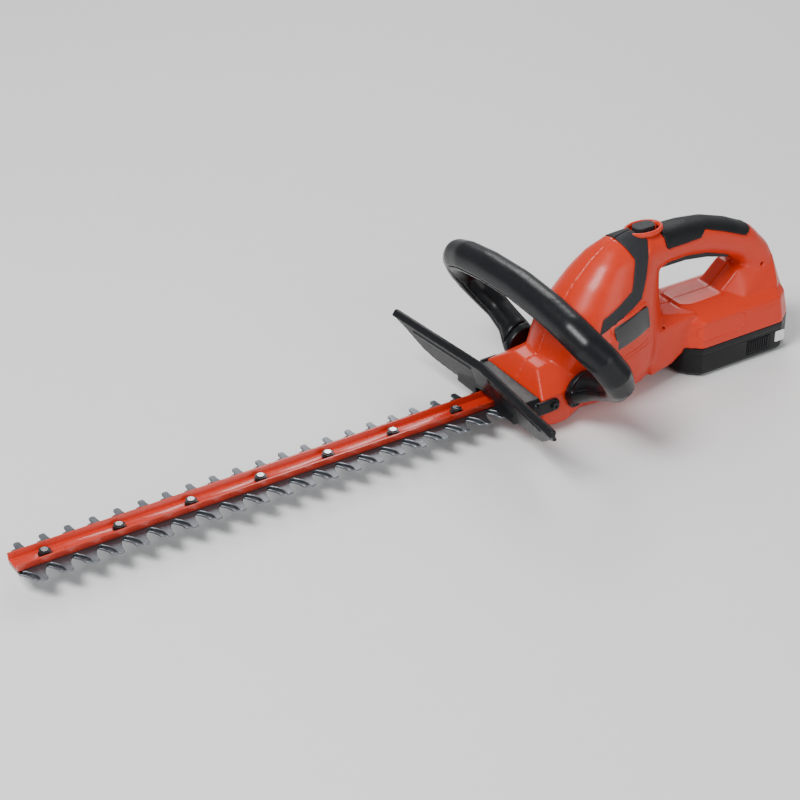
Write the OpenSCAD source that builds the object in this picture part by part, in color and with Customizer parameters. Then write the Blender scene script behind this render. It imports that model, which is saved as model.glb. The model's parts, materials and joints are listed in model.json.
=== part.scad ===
// Cordless hedge trimmer: +X runs from the blade tip to the rear, +Y is the user's right, +Z is up.
// The origin is the middle of the footprint, on the surface that the tool rests on.

/* [Overall] */
// Overall length, blade tip to rear end
overall_l = 777; // [720:1:960]
// Length of the housing, nose to rear end
body_l = 307; // [290:1:370]
// Height of the cutting plane above the rest surface
blade_z = 20; // [19:0.5:21]

/* [Housing] */
// Wall thickness of the moulded housing
wall = 2.6; // [2:0.1:3.2]
// Half width of the motor housing at its widest
body_hw = 43.5; // [42.5:0.5:50]
// Height of the dome over the motor
dome_h = 151; // [148:1:182]
// Half width of the gear nose
nose_hw = 42.5; // [42:0.5:45]
// Half width of the rear hand grip
grip_hw = 17.5; // [16:0.5:21]
// Half height of the rear hand grip
grip_hh = 16.5; // [16:0.5:18]
// Depth of the soft overmould
skin_t = 1.2; // [0.8:0.1:1.4]

/* [Battery] */
// Half width of the battery and of the base over it
pack_hw = 41; // [39:0.5:46]
// Length of the battery and of the base over it
pack_l = 133; // [128:1:150]
// Height of the seam between battery and base
seam_z = 30; // [28:0.5:34]
// Height of the base's top deck
deck_z = 66; // [64:0.5:72]
// Radius of one cell
cell_r = 10.2; // [9.6:0.1:10.3]
// Height of one cell
cell_h = 33; // [30:1:34]
// Travel of the battery out of its well
pack_travel = 60; // [50:1:80]

/* [Cutting bar] */
// Distance from one tooth to the next
pitch = 22; // [20:0.5:26]
// Half width of the blades over the long teeth
tooth_hw = 28.8; // [26:0.2:34]
// Thickness of one blade
blade_t = 2; // [1.6:0.1:2.4]
// Half width of the channel at its floor
bar_hw = 9; // [8:0.25:10]
// Height of the channel above the blades
bar_h = 6.6; // [5:0.2:9]
// Distance from one guide bolt to the next
bolt_pitch = 65; // [55:1:80]
// Radius of a guide bolt
bolt_r = 3; // [2.5:0.1:3.2]

/* [Drive] */
// Throw of each eccentric, half of the blade stroke
throw_r = 8; // [6:0.25:8.5]
// Gear module
gear_m = 1; // [0.9:0.05:1.05]
// Teeth on the drive gear
gear_n = 60; // [54:1:62]
// Teeth on the pinion
pinion_n = 12; // [12:1:13]
// Radius of the gear post
post_r = 4; // [3.5:0.1:4.2]
// Radius of the motor can
motor_r = 21; // [19:0.5:22]
// Length of the motor can
motor_l = 56; // [50:1:58]
// Radius of the armature shaft
shaft_r = 2.5; // [2:0.1:3]

/* [Guard and front handle] */
// Half width of the hand guard
guard_hw = 121.7; // [110:0.5:130]
// Height of the guard's rim
guard_top = 64; // [60:0.5:76]
// Half width of the front handle
bail_hw = 129.5; // [122:0.5:156]
// Height of the middle of the front handle's bar
bail_z = 130.5; // [126:0.5:150]
// Radius of the front handle's bar
bail_r = 14.7; // [13.5:0.1:16]

/* [Fits] */
// Radial clearance of a running fit
run_fit = 0.05; // [0.02:0.01:0.08]
// Gap between parts that slide on each other
slide_gap = 0.3; // [0.2:0.05:0.4]
// Gap between parts that only sit beside each other
seat_gap = 0.15; // [0.1:0.05:0.25]

/* [Hidden] */
$fn = 48;
eps = 0.01;

// Stations
tip_x = -overall_l / 2;
nose_x = overall_l / 2 - body_l;
bar_l = nose_x - tip_x;
function rear(d) = body_l - d;                  // a station measured from the rear end

// Colours
orange = [0.85, 0.26, 0.13];
bar_red = [0.78, 0.19, 0.11];
soft_black = [0.11, 0.12, 0.13];
band_grey = [0.25, 0.26, 0.27];
steel = [0.62, 0.63, 0.65];
blade_steel = [0.36, 0.38, 0.40];

// ---------------------------------------------------------------- shared shapes

// Convex solid over a list of points
module hull_points(p) {
    hull() polyhedron(points = p, faces = [[for (i = [0:len(p) - 1]) i]]);
}

// Solid through a row of rings of equal count, each turning left about the way they run
module skin(rings) {
    n = len(rings[0]);
    last = len(rings) - 1;
    walls = [for (i = [0:last - 1], k = [0:n - 1])
        let (a = i * n + k, b = i * n + (k + 1) % n) each [[a, a + n, b], [b, a + n, b + n]]];
    polyhedron([for (r = rings) each r],
        concat([[for (k = [0:n - 1]) k]], walls, [[for (k = [n - 1:-1:0]) last * n + k]]));
}

// Cuts and joins of swept skins, done together
module together() {
    resize([0, 0, 0]) children();
}

function sgn_pow(v, e) = sign(v) * pow(abs(v), e);
function unit(v) = v / norm(v);

// Round tube swept along points, with n sides
module tube(path, r, n = 8) {
    last = len(path) - 1;
    dirs = [for (i = [0:last]) unit(path[min(i + 1, last)] - path[max(i - 1, 0)])];
    side = [for (d = dirs) unit(cross(d, abs(d.y) > 0.9 ? [0, 0, 1] : [0, 1, 0]))];
    pts = [for (i = [0:last], k = [0:n - 1])
        path[i] + r * (cos(360 * k / n) * side[i] + sin(360 * k / n) * cross(dirs[i], side[i]))];
    skin([for (i = [0:last]) [for (k = [0:n - 1]) pts[i * n + k]]]);
}

// Coil spring along +Z with flat ends of wire
module coil(r, wire, length, turns) {
    steps = 12 * turns;
    tube([for (i = [0:steps]) [r * cos(30 * i), r * sin(30 * i), wire + (length - 2 * wire) * i / steps]],
        wire, 6);
}

// Cylinder along Y between two stations
module y_rod(u, z, r, y0, y1) {
    translate([u, y0, z]) rotate([-90, 0, 0]) cylinder(r = r, h = y1 - y0);
}

// ---------------------------------------------------------------- housing outlines

// Motor housing, as level slices: height, front, rear, half width, station of the widest point
function slices() = [
    [0, 50, 128, 23, 86],
    [5, 38, 143, 31, 86],
    [14, 30, 158, 39, 86],
    [30, 25, 168, body_hw - 1, 86],
    [50, 30, 168, body_hw, 88],
    [75, 39, 162, body_hw, 88],
    [84, 46, 160, body_hw - 2, 92],
    [98, 56, 159, body_hw - 5, 97],
    [117, 71, 160, body_hw - 11.5, 104],
    [dome_h - 19, 86, 160, body_hw - 18.5, 112],
    [dome_h - 8, 101, 159, body_hw - 27.5, 120],
    [dome_h - 2, 115, 158, body_hw - 36, 130],
    [dome_h, 124, 150, body_hw - 40, 136]
];

// One slice drawn in by t all round
function slice_ring(s, t, n = 28) = [for (k = [0:n - 1])
    let (a = 360 * (k + 0.5) / n, c = sgn_pow(cos(a), 0.9), q = sgn_pow(sin(a), cos(a) > 0 ? 1.05 : 0.86))
    [s[4] + (c > 0 ? s[2] - t - s[4] : s[4] - s[1] - t) * c,
     max(s[3] - t, 1) * q,
     t + s[0] * (1 - 2 * t / dome_h)]];

module core(t = 0) {
    skin([for (s = slices()) slice_ring(s, t)]);
}

// Chamfered gear nose, drawn in by t
nose_front = 9;
nose_top = 53;
deck_hw = 18;
module nose(t = 0) {
    hw = nose_hw - t;
    top_hw = deck_hw - t / 3;
    hull_points([for (m = [-1, 1], p = [
        [nose_front + t, hw, 36 - t], [nose_front + t, hw, 12 + t / 2], [22, hw - 1, 6.5 + t],
        [36 - t / 2, hw - 1, 6.5 + t], [52 - t / 2, hw, 23 + t / 2], [64, hw, 41 - t / 2],
        [24 + t, 30, 3 + t], [64, 26, 3 + t],
        [nose_front + 11 + t / 2, top_hw, nose_top - t], [64, top_hw + 2, 60 - t]]) [p.x, m * p.y, p.z]]);
}

// Round step of the deck at the motor's foot
step_r = 45;
module motor_step(t = 0) {
    translate([83, 0, 40]) rotate(180 / $fn) cylinder(r = step_r - t, h = 33 - t);
    translate([83, 0, 73 - t - eps]) rotate(180 / $fn)
        cylinder(r1 = step_r - t - eps, r2 = step_r - 2.5 - t, h = 2.5);
}

// Waist between the motor housing and the base
module waist(t = 0) {
    hull_points([for (m = [-1, 1], p = [
        [138, 32 - t, 14 + t], [138, 32 - t, 56 - t], [146, 18 - t, 68 - t], [162, 18 - t, 65 - t],
        [rear(pack_l) + 16, 29 - t, deck_z - 4 - t], [rear(pack_l) + 16, 29 - t, seam_z + 4],
        [165, 28 - t, seam_z - 14 + t]]) [p.x, m * p.y, p.z]]);
}

// Plan of the battery base, drawn in by t
function base_side(t) = [
    [rear(pack_l) + t, 22], [rear(pack_l) + 5 + t, 32 - t / 2], [rear(pack_l) + 16 + t / 2, pack_hw - t],
    [rear(23) - t / 3, pack_hw - t], [rear(7) - t, 29 - t / 2], [rear(0) - t, 9]];
function base_plan(t = 0) = let (side = base_side(t))
    concat(side, [for (i = [len(side) - 1:-1:0]) [side[i].x, -side[i].y]]);

deck_share = 0.56;                               // width of the flat deck over the base's
module base_block(t = 0) {
    hull_points(concat(
        [for (p = base_plan(t)) [p.x, p.y, seam_z + (t > 0 ? -eps : 0)]],
        [for (p = base_plan(t + 4)) [p.x, p.y, deck_z - 12 - t]],
        [for (p = base_plan(t + 6)) [p.x, p.y, deck_z - 10 - t]],
        [for (p = base_plan(t + 8)) [p.x, p.y * deck_share, deck_z - t]]));
}

// Rear hand grip: station, height, slope, half height, half width
grip_front = 165;
grip_bend = rear(51);
function grip_mid(f) = grip_front + (grip_bend - grip_front) * f;
function grip_line() = [
    [138, 124, -6, grip_hh + 6, grip_hw + 4],
    [grip_front, 127.5, -1, grip_hh + 0.5, grip_hw + 0.5],
    [grip_mid(0.25), 127.5, 3, grip_hh, grip_hw],
    [grip_mid(0.52), 124, 10, grip_hh, grip_hw],
    [grip_mid(0.78), 116, 23, grip_hh, grip_hw],
    [grip_bend + 1, 106, 38, grip_hh + 0.5, grip_hw],
    [rear(35), 89, 55, grip_hh + 1.5, grip_hw + 1],
    [rear(28), 69.5, 66, grip_hh + 3, grip_hw + 3],
    [rear(25), 52, 76, grip_hh + 6, grip_hw + 6]
];
function grip_ring(s, t, n = 20) = [for (k = [0:n - 1])
    let (a = 360 * (k + 0.5) / n, h = (s[3] - t) * sgn_pow(cos(a), 0.8))
    [s[0] + h * sin(s[2]), -(s[4] - t) * sgn_pow(sin(a), 0.8), s[1] + h * cos(s[2])]];
module grip(t = 0) {
    skin([for (s = grip_line()) grip_ring(s, t)]);
}

// Flared foot of the grip on the base
module grip_foot(t = 0) {
    hull_points([for (m = [-1, 1], p = [
        [rear(84) + t, 15 - t, deck_z - 4], [rear(4) - t, 12 - t, deck_z - 10],
        [rear(20), 27 - t, deck_z - 4], [rear(60), 27 - t, deck_z - 4],
        [rear(60) + t, 15 - t, 84 - t], [rear(20) - t, 15 - t, 90 - t]]) [p.x, m * p.y, p.z]]);
}

module housing_solid(t = 0) {
    core(t);
    nose(t);
    motor_step(t);
    waist(t);
    base_block(t);
    grip(t);
    grip_foot(t);
}

// ---------------------------------------------------------------- places inside the housing

gear_cd = gear_m * (gear_n + pinion_n) / 2 + 0.12;   // centre distance with a little backlash
motor_u = 83;
gear_u = motor_u - gear_cd;
upper_z = blade_z + 0.06;
lower_z = blade_z - 0.06 - blade_t;
floor_z = upper_z + blade_t + 0.14;                  // underside of the channel
rail_t = 1.6;
rail_z = lower_z - 0.14 - rail_t;
case_t = 2.5;
case_z = rail_z - case_t - 1.7;                      // underside of the gearcase base
gear_z = floor_z + 1.4;
gear_t = 6;
cover_z = gear_z + gear_t + 1.8;
can_z = cover_z + case_t;
post_spots = [[20.5, nose_hw - wall - 5.6], [20.5, wall + 5.6 - nose_hw], [88, 26], [88, -26]];
button_u = 144;
pin_u = grip_mid(0.84);
pin_z = 103;
pin_r = 2;
guard_screw = [20, 30];
bail_screw = [42, 27];
// Housing screws: station, height
screw_spots = [[30, 6.8], [118, 12], [152, 58], [116, 121], [rear(34), 84], [rear(8.5), 50]];
screw_r = 1.7;
head_r = 3.3;

// ---------------------------------------------------------------- housing shells

// Side view of the soft band, from the lock-off button down to the nose
module band_outline() {
    polygon([[106, dome_h + 9], [142, dome_h + 9], [139, 143], [130, 122], [119, 101.5],
        [70.5, 80], [76.5, 93.5], [108.5, 111], [118.5, 135], [110, dome_h]]);
}
// Side view of the badge
module badge_outline() {
    polygon([[84, 85], [87.6, 62.8], [127, 72.4], [123, 94.6]]);
}
// Side view of the soft grip cover
module grip_outline() {
    polygon([[158, 170], [157, 134], [160, 130.5], [198, 131], [204, 137], [grip_mid(0.7), 128],
        [grip_bend - 4, 118], [grip_bend + 12, 122], [grip_bend + 16, 170]]);
}
module side_prism(g = 0) {
    rotate([90, 0, 0]) linear_extrude(height = 160, center = true) offset(delta = g) children();
}
module half_space(side, gap = 0) {
    translate([-60, side > 0 ? gap : -200 - gap, -20]) cube([body_l + 160, 200, 260]);
}
module button_plan(g = 0) {
    hull() {
        for (d = [-4.5, 4.5]) {
            translate([button_u + d, 0]) circle(r = 6.5 + g, $fn = 32);
        }
    }
}

module shell(side) {
    intersection() {
        difference() {
            union() {
                difference() {
                    housing_solid();
                    housing_solid(wall);
                }
                bosses(side);
            }
            skin_recesses(side);
            // slot for the cutting bar
            translate([nose_front - 20, -bar_hw - 6, rail_z - 5]) cube([22 + wall, 2 * bar_hw + 12, 22]);
            // battery well
            translate([0, 0, seam_z - 31]) linear_extrude(height = 32.5) polygon(base_plan(wall + 0.3));
            // seat of the battery's rim
            translate([0, 0, seam_z - 31]) linear_extrude(height = 30.9) polygon(base_plan(-0.2));
            // trigger slot
            translate([151, -trigger_hw - 0.6, 98]) cube([grip_mid(0.9) - 151, 2 * trigger_hw + 1.2, 22]);
            // lock-off button hole
            translate([0, 0, dome_h - 12]) linear_extrude(height = 20) button_plan(0.4);
            for (p = screw_spots) {
                y_rod(p.x, p.y, screw_r + 0.1, -30, 30);
                y_rod(p.x, p.y, head_r + 0.3, screw_seat, 60);
            }
            for (m = [-1, 1]) {
                y_rod(guard_screw.x, guard_screw.y, screw_r + 0.1, m > 0 ? 30 : -60, m > 0 ? 60 : -30);
                y_rod(bail_screw.x, bail_screw.y, screw_r + 0.1, m > 0 ? 30 : -60, m > 0 ? 60 : -30);
            }
            y_rod(pin_u, pin_z, pin_r + 0.06, -pin_half, pin_half);
        }
        half_space(side);
    }
}
screw_seat = 12;
trigger_hw = 9.5;
pin_half = 13.6;

module skin_recesses(side) {
    intersection() {
        difference() {
            union() {
                core(-1);
                motor_step(-1);
            }
            union() {
                core(skin_t);
                motor_step(skin_t);
            }
        }
        side_prism() band_outline();
    }
    intersection() {
        difference() {
            grip(-2);
            grip(skin_t);
        }
        side_prism() grip_outline();
    }
}

// Screw bosses, motor cradle, gearcase feet and button shelf
module bosses(side) {
    intersection() {
        housing_solid(wall - 0.4);
        difference() {
            union() {
                for (p = screw_spots) {
                    y_rod(p.x, p.y, head_r + 1.9, -60, 60, $fn = 24);
                }
                for (z = [can_z + 22, can_z + 44]) {
                    translate([motor_u - 32, -50, z]) cube([64, 100, 2.4]);
                }
                for (p = [guard_screw, bail_screw]) {
                    y_rod(p.x, p.y, 4.2, side > 0 ? nose_hw - 3.8 : -60, side > 0 ? 60 : 3.8 - nose_hw);
                }
                for (p = [[24, 20], [76, 20]]) {
                    translate([p.x, side * p.y, 0]) cylinder(r = 5, h = case_z);
                }
                translate([button_u - 13, -38, dome_h - 29]) cube([24, 76, 2.4]);
                translate([pin_u - 5, side > 0 ? trigger_hw + 0.6 : -40, pin_z - 5])
                    cube([10, 39.4 - trigger_hw, 10]);
            }
            translate([motor_u, 0, 20]) cylinder(r = motor_r + 0.3, h = 100);
        }
    }
}

module housing_left() {
    color(orange) at_nose() together() shell(-1);
}
module housing_right() {
    color(orange) at_nose() together() shell(1);
}
module at_nose() {
    translate([nose_x, 0, 0]) children();
}

module band(side) {
    color(band_grey) at_nose() together() intersection() {
        difference() {
            union() {
                core(-0.3);
                motor_step(-0.3);
            }
            union() {
                core(skin_t);
                motor_step(skin_t);
            }
            translate([0, 0, dome_h - 12]) linear_extrude(height = 20) button_plan(3);
        }
        side_prism(-0.08) band_outline();
        half_space(side, 0.1);
    }
}
module side_band_left() {
    band(-1);
}
module side_band_right() {
    band(1);
}

module grip_cover() {
    color(soft_black) at_nose() together() intersection() {
        difference() {
            grip(-0.6);
            grip(skin_t);
            core(0.1);
        }
        side_prism(-0.08) grip_outline();
    }
}

module badge(side) {
    color(soft_black) at_nose() together() intersection() {
        difference() {
            core(-1);
            core(0);
            motor_step(0);
            union() {
                core(-0.1);
            }
        }
        side_prism() badge_outline();
        half_space(side, 0.1);
    }
}
module badge_left() {
    badge(-1);
}
module badge_right() {
    badge(1);
}

module screw(length, head = 2.4, hr = head_r) {
    difference() {
        union() {
            cylinder(r = hr, h = head);
            translate([0, 0, -length]) cylinder(r = screw_r, h = length + eps);
        }
        translate([0, 0, head - 1]) cylinder(r = hr * 0.5, h = 2, $fn = 6);
    }
}
module housing_screws() {
    color(steel) at_nose() for (p = screw_spots) {
        translate([p.x, screw_seat, p.y]) rotate([-90, 0, 0]) screw(24);
    }
}

// ---------------------------------------------------------------- guard

guard_rim_u = -28;
guard_sweep = 5.2;
guard_lean = 20;
guard_t = 3.4;
collar_front = -24;
collar_top = 36;

module guard_wing() {
    hw = guard_hw / cos(guard_sweep);
    low = guard_top - 5;
    rotate([0, 0, guard_sweep]) {
        // leaning plate
        translate([0, 0, low]) rotate([0, -guard_lean, 0]) translate([0, 0, -low])
            rotate([90, 0, 90]) linear_extrude(height = guard_t) polygon([
                [-2, low + 1], [hw - 0.5, low + 1], [hw, low - 6], [hw - 10, 48], [hw - 21, 39],
                [hw - 31, 31.5], [hw - 46, 26.5], [50, 23.5], [30, 22.5], [bar_hw + 6.5, 22.5],
                [bar_hw + 4.5, 31.5], [-2, 31.5]]);
        // raised ledge
        translate([0, 0, low]) rotate([0, -guard_lean, 0]) translate([-1.2, 14, -10]) cube([3, hw - 38, 1.8]);
        // rim
        translate([0, -2, guard_top]) rotate([-90, 0, 0]) linear_extrude(height = hw + 2)
            polygon([[0, 0], [-3.4, 4.6], [-1.2, 6.6], [2.6, 7.4], [4.6, 1.5], [3.2, 0]]);
    }
}
module guard() {
    color(soft_black) at_nose() difference() {
        union() {
            for (m = [0, 1]) {
                mirror([0, m, 0]) translate([guard_rim_u, 0, 0]) guard_wing();
            }
            // central stiffener
            translate([guard_rim_u - 2.5, -13, guard_top - 5]) rotate([0, -guard_lean, 0])
                translate([0, 0, 31.5 - guard_top + 5]) cube([4, 26, guard_top - 36]);
            collar();
        }
        // way through for the channel and the blades
        translate([-80, -bar_hw - 5, 0]) cube([89.5, 2 * bar_hw + 10, floor_z + bar_h + 2.4]);
        translate([-80, -60, 0]) cube([89 - eps, 120, blade_z + blade_t + 0.9]);
        for (m = [-1, 1]) {
            y_rod(guard_screw.x, guard_screw.y, screw_r + 0.15, m > 0 ? 30 : -60, m > 0 ? 60 : -30);
        }
    }
}
module collar() {
    difference() {
        union() {
            translate([0, 0, 0]) rotate([90, 0, 90]) translate([0, 0, collar_front + 2])
                linear_extrude(height = nose_front - collar_front - 2)
                polygon(collar_outline(nose_hw + 1.5, collar_top + 1, blade_z + 2));
            for (m = [-1, 1]) {
                hull() {
                    y_rod(guard_screw.x, guard_screw.y, 6.2, m > 0 ? nose_hw + 0.2 : -nose_hw - 3.4,
                        m > 0 ? nose_hw + 3.4 : -nose_hw - 0.2);
                    translate([nose_front - 6, m > 0 ? nose_hw + 0.2 : -nose_hw - 3.4, 23])
                        cube([1, 3.2, 13]);
                }
            }
        }
        rotate([90, 0, 90]) translate([0, 0, collar_front + 6]) linear_extrude(height = 60)
            polygon(collar_outline(nose_hw - 2, collar_top - 2.4, 0));
    }
}
function collar_outline(hw, top, low) = [[-hw, low], [hw, low], [hw, top - 6], [hw - 6, top],
    [6 - hw, top], [-hw, top - 6]];

module guard_screws() {
    color([0.2, 0.2, 0.2]) at_nose() for (m = [-1, 1]) {
        translate([guard_screw.x, m * (nose_hw + 3.4), guard_screw.y]) rotate([-90 * m, 0, 0]) screw(7.8);
    }
}

// ---------------------------------------------------------------- front handle

// Half of the handle's line: point, direction of the long axis, half length, half thickness
bail_u = 11;
bail_bow = 12;                                   // drop of the bar, 100 mm out from its middle
bail_end = bail_hw - bail_r;
elbow = [37, bail_end - 2.5, bail_z - 51.5];
root = [48.5, nose_hw + 2, 39.5];
function bar_at(y) = [bail_u, y, bail_z - bail_bow * pow(y / 100, 2)];
function corner_at(u, dy, dz) = [u, bail_end - dy, bail_z - dz];
function arm_at(f) = elbow * (1 - f) + root * f;
function bail_half() = [
    [bar_at(0), [1, 0, 0], bail_r, bail_r],
    [bar_at(bail_end * 0.4), [1, 0, 0], bail_r, bail_r],
    [bar_at(bail_end * 0.68), [1, 0, 0], bail_r, bail_r],
    [corner_at(14, 18, 14.5), [1, 0, 0], bail_r, bail_r],
    [corner_at(21, 6, 24.5), [1, 0, 0], bail_r, bail_r - 0.2],
    [corner_at(30, 0, 38.5), [1, 0, 0.1], bail_r, bail_r - 0.7],
    [elbow, [1, 0, 0.25], bail_r - 1.2, bail_r - 2.2],
    [arm_at(0.16) + [5, 0, -5.6], [1, 0, 0.5], bail_r - 2.2, bail_r - 3.7],
    [arm_at(0.41) + [8, 0, -6], [1, 0, 0.6], bail_r - 2.7, bail_r - 4.2],
    [arm_at(0.7) + [5.5, 0, -2.5], [1, 0, 0.66], bail_r - 1.7, bail_r - 2.7],
    [arm_at(0.97), [1, 0, 0.66], bail_r + 2.8, bail_r - 1.7],
    [arm_at(1.06), [1, 0, 0.66], bail_r + 3.3, bail_r - 1.4]
];
function mirror_y(r) = [[r[0].x, -r[0].y, r[0].z], r[1], r[2], r[3]];
function bail_line() = let (h = bail_half(), n = len(h) - 1)
    concat([for (i = [n:-1:0]) h[i]], [for (i = [1:n]) mirror_y(h[i])]);

// Rings of the handle, drawn in by t, between two angles of the section
function bail_rings(t, a0, a1, n) = let (line = bail_line(), last = len(line) - 1)
    [for (i = [0:last])
        let (p = line[i], d = unit(line[min(i + 1, last)][0] - line[max(i - 1, 0)][0]),
            out = unit(cross(d, p[1])), m = unit(cross(out, d)))
        [for (k = [0:n - 1])
            let (a = a0 + (a1 - a0) * k / (n - (a1 - a0 < 360 ? 1 : 0)))
            p[0] + (p[2] - t) * cos(a) * m + (p[3] - t) * sin(a) * out]];

bail_lip = 65;                                     // half angle of the cover's share of the section
module bail_lens(grow) {
    skin(bail_rings(-1.5 - grow, 270 - bail_lip - grow * 4, 270 + bail_lip + grow * 4, 8));
}
module bail_shell() {
    color(soft_black) at_nose() together() difference() {
        union() {
            skin(bail_rings(0, 0, 360, 20));
            for (m = [-1, 1]) {
                bail_tab(m);
            }
        }
        difference() {
            skin(bail_rings(2.8, 0, 360, 14));
            bail_root(8.6);
        }
        difference() {
            bail_lens(0.3);
            bail_root(7.7);
        }
        bail_root(0);
        for (m = [-1, 1]) {
            y_rod(bail_screw.x, bail_screw.y, screw_r + 0.15, m > 0 ? 30 : -60, m > 0 ? 60 : -30);
            y_rod(bail_screw.x, bail_screw.y, head_r + 0.3, m > 0 ? nose_hw + 4.5 : -64,
                m > 0 ? 64 : -nose_hw - 4.5);
        }
    }
}
// Space beside the nose that the handle's roots stop at
module bail_root(extra) {
    translate([-20, -nose_hw - 0.2 - extra, -20]) cube([160, 2 * (nose_hw + 0.2 + extra), bail_z - 24]);
}
module bail_tab(m) {
    hull() {
        y_rod(bail_screw.x, bail_screw.y, 6.6, m > 0 ? nose_hw + 0.3 : -nose_hw - 4.5,
            m > 0 ? nose_hw + 4.5 : -nose_hw - 0.3);
        y_rod(bail_screw.x + 7, bail_screw.y + 13, 8.6, m > 0 ? nose_hw + 0.3 : -nose_hw - 6,
            m > 0 ? nose_hw + 6 : -nose_hw - 0.3);
    }
}
module bail_cover() {
    color(soft_black) at_nose() together() difference() {
        intersection() {
            skin(bail_rings(0, 0, 360, 20));
            bail_lens(0);
        }
        bail_root(8);
    }
}
module bail_screws() {
    color([0.2, 0.2, 0.2]) at_nose() for (m = [-1, 1]) {
        translate([bail_screw.x, m * (nose_hw + 4.5), bail_screw.y]) rotate([-90 * m, 0, 0]) screw(12);
    }
}

// ---------------------------------------------------------------- cutting bar

bar_end = nose_x + 13.5;
bar_screws = [3.5, 10];
bar_wall = 1.5;
bolt_first = 27.5;
bolt_n = floor((bar_l - bolt_first - 30) / bolt_pitch) + 1;
function bolt_xs() = [for (i = [0:bolt_n - 1]) tip_x + bolt_first + i * bolt_pitch];
tooth_first = 15;
tooth_n = floor((bar_l - tooth_first - throw_r - 6) / pitch) + 1;
strip_hw = bar_hw + 3;

module bolt_holes(r, z0, h) {
    for (x = bolt_xs()) {
        translate([x, 0, z0]) cylinder(r = r, h = h);
    }
}
module blade_bar() {
    color(bar_red) difference() {
        translate([tip_x, 0, 0]) rotate([90, 0, 90]) linear_extrude(height = bar_end - tip_x)
            polygon([[-bar_hw, floor_z], [bar_hw, floor_z], [bar_hw + 1.2, floor_z + bar_h],
                [bar_hw + 1.2 - bar_wall, floor_z + bar_h], [bar_hw - bar_wall, floor_z + bar_wall],
                [bar_wall - bar_hw, floor_z + bar_wall], [bar_wall - bar_hw - 1.2, floor_z + bar_h],
                [-bar_hw - 1.2, floor_z + bar_h]]);
        bolt_holes(bolt_r + run_fit, floor_z - 1, 4);
        for (d = bar_screws) {
            translate([nose_x + d, 0, floor_z - 1]) cylinder(r = screw_r + 0.1, h = 4);
        }
    }
}
module blade_rail() {
    color(steel) difference() {
        translate([tip_x + 6, -bar_hw + 1, rail_z]) cube([bar_end - tip_x - 6, 2 * bar_hw - 2, rail_t]);
        bolt_holes(bolt_r + run_fit, rail_z - 1, 4);
        for (d = bar_screws) {
            translate([nose_x + d, 0, rail_z - 1]) cylinder(r = screw_r + 0.1, h = 4);
        }
    }
}
module guide_bolts() {
    color(steel) for (x = bolt_xs()) {
        translate([x, 0, rail_z - 1.8]) cylinder(r = bolt_r + 2.2, h = 1.8);
        translate([x, 0, rail_z - eps]) cylinder(r = bolt_r, h = floor_z + bar_wall + 4.6 - rail_z);
    }
}
module guide_nuts() {
    color([0.2, 0.2, 0.21]) for (x = bolt_xs()) {
        translate([x, 0, floor_z + bar_wall]) difference() {
            union() {
                cylinder(r = bolt_r + 2.6, h = 0.8);
                translate([0, 0, 0.8 - eps]) cylinder(r = (bolt_r + 1.6) / cos(30), h = 2.8, $fn = 6);
            }
            translate([0, 0, -1]) cylinder(r = bolt_r + run_fit, h = 9);
        }
    }
}

// Half outline of one tooth on the +Y side: station across, reach
function long_tooth() = [[-9.4, strip_hw - 1], [-8.2, strip_hw + 0.6], [-6.2, strip_hw + 3],
    [-4, strip_hw + 7], [-3.1, tooth_hw - 6], [-2.9, tooth_hw - 1.6], [-2.1, tooth_hw - 0.3],
    [-1.2, tooth_hw]];
function short_tooth() = [[-9.6, strip_hw - 1], [-8.4, strip_hw + 0.6], [-6.8, strip_hw + 2.6],
    [-5, strip_hw + 6], [-4.2, tooth_hw - 7.5], [-3.4, tooth_hw - 5.6], [-2, tooth_hw - 5]];
function both_flanks(t) = concat(t, [for (i = [len(t) - 1:-1:0]) [-t[i].x, t[i].y]]);

// One side of a blade's outline, from the tip to the yoke
function blade_side(teeth, shift) = concat(
    [for (i = [0:tooth_n - 1], p = concat([[-pitch / 2, strip_hw - 1.4]], both_flanks(teeth)))
        [tip_x + tooth_first + shift + i * pitch + p.x, p.y]],
    [[nose_x + gear_u - yoke_hx, strip_hw - 1.4], [nose_x + gear_u - yoke_hx, yoke_hy],
        [nose_x + gear_u + yoke_hx, yoke_hy]]);
function blade_plan(teeth, shift) = let (side = blade_side(teeth, shift))
    concat(side, [for (i = [len(side) - 1:-1:0]) [side[i].x, -side[i].y]]);

module blade(z, teeth, shift) {
    translate([0, 0, z]) difference() {
        linear_extrude(height = blade_t) polygon(blade_plan(teeth, shift));
        for (x = bolt_xs()) {
            for (d = [-throw_r, throw_r]) {
                translate([x + d, 0, -1]) cylinder(r = bolt_r + slide_gap, h = blade_t + 2);
            }
            translate([x - throw_r, -bolt_r - slide_gap, -1])
                cube([2 * throw_r, 2 * (bolt_r + slide_gap), blade_t + 2]);
        }
        // fixing screws of the bar pass through one long slot
        translate([nose_x + bar_screws[0] - throw_r - 3, -screw_r - slide_gap, -1])
            cube([bar_screws[1] - bar_screws[0] + 2 * throw_r + 6, 2 * (screw_r + slide_gap), blade_t + 2]);
        translate([nose_x + gear_u - yoke_x, -yoke_y, -1]) cube([2 * yoke_x, 2 * yoke_y, blade_t + 2]);
    }
}
cam_r = throw_r + post_r + 2;
lag = throw_r * 0.212;                      // most that a steady ratio strays from the true sine
yoke_x = cam_r + lag + slide_gap;
yoke_y = cam_r + throw_r + 0.5;
yoke_hx = yoke_x + 4.5;
yoke_hy = yoke_y + 4;

module upper_blade() {
    color(blade_steel) blade(upper_z, long_tooth(), 0);
}
module lower_blade() {
    color(blade_steel) blade(lower_z, short_tooth(), -3);
}

// ---------------------------------------------------------------- gearcase and drive

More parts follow.
